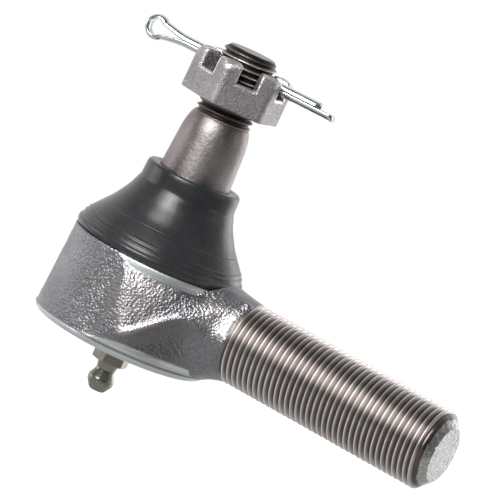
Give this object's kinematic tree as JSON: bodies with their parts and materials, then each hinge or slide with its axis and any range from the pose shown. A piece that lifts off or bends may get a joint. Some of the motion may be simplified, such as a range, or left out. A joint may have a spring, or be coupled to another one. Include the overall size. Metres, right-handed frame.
{
  "type": "tie rod end",
  "caption": "Outer tie rod end: greased ball joint with a dust boot, a tapered stud with a castle nut and cotter pin, and a threaded shank.",
  "frame": {"origin": "on the stud's axis, in the gauge plane at the wide end of the stud's taper, 29.5 mm above the ball's centre", "axes": "+Z along the stud towards its thread, +X along the threaded shank away from the ball, +Y completes the right-handed frame"},
  "size_m": [0.1137, 0.0448, 0.0888],
  "materials": {
    "forged_steel": "shot-blasted forging, oiled, with a rolled thread",
    "seat_polymer": "moulded acetal",
    "spring_steel": "blued spring steel",
    "cover_steel": "pressed sheet",
    "plated_fitting": "yellow zinc plate",
    "bearing_steel": "polished",
    "turned_steel": "turned and ground",
    "boot_rubber": "moulded, satin",
    "ring_steel": "pressed sheet",
    "nut_steel": "tumbled, satin zinc",
    "zinc_wire": "bright zinc"
  },
  "bodies": {
    "housing": {"socket_housing": "forged_steel", "upper_ball_seat": "seat_polymer", "cover_plate": "cover_steel", "preload_spring": "spring_steel", "grease_fitting_body": "plated_fitting", "grease_fitting_spring": "spring_steel", "boot_base_ring": "ring_steel"},
    "lower_seat": {"lower_ball_seat": "seat_polymer"},
    "boot": {"dust_boot": "boot_rubber"},
    "boot_neck": {"boot_neck_ring": "ring_steel"},
    "stud": {"ball_stud": "turned_steel", "castle_nut": "nut_steel"},
    "pin": {"cotter_pin": "zinc_wire"},
    "check_ball": {"grease_fitting_ball": "bearing_steel"}
  },
  "joints": [
    {"name": "swing_along_shank", "type": "hinge", "parent": "housing", "child": "boot", "pos_m": [0, 0, -0.0295], "axis": [0, 1, 0], "range_deg": [-18, 18], "deforming": ["dust_boot"]},
    {"name": "swing_across_shank", "type": "hinge", "parent": "boot", "child": "boot_neck", "pos_m": [0, 0, -0.0295], "axis": [1, 0, 0], "range_deg": [-18, 18], "deforming": ["dust_boot"]},
    {"name": "stud_spin", "type": "hinge", "parent": "boot_neck", "child": "stud", "pos_m": [0, 0, 0], "axis": [0, 0, 1], "continuous": true},
    {"name": "pin_pull", "type": "slide", "parent": "stud", "child": "pin", "axis": [-0.9962, -0.0872, 0], "range_m": [0, 0.04]},
    {"name": "seat_travel", "type": "slide", "parent": "housing", "child": "lower_seat", "axis": [0, 0, -1], "range_m": [0, 0.0006], "stiffness_N_per_m": 500, "springref_m": -0.002, "deforming": ["preload_spring"]},
    {"name": "check_ball_lift", "type": "slide", "parent": "housing", "child": "check_ball", "axis": [0, 0, 1], "range_m": [0, 0.0008], "stiffness_N_per_m": 50, "springref_m": -0.001, "deforming": ["grease_fitting_spring"]}
  ]
}
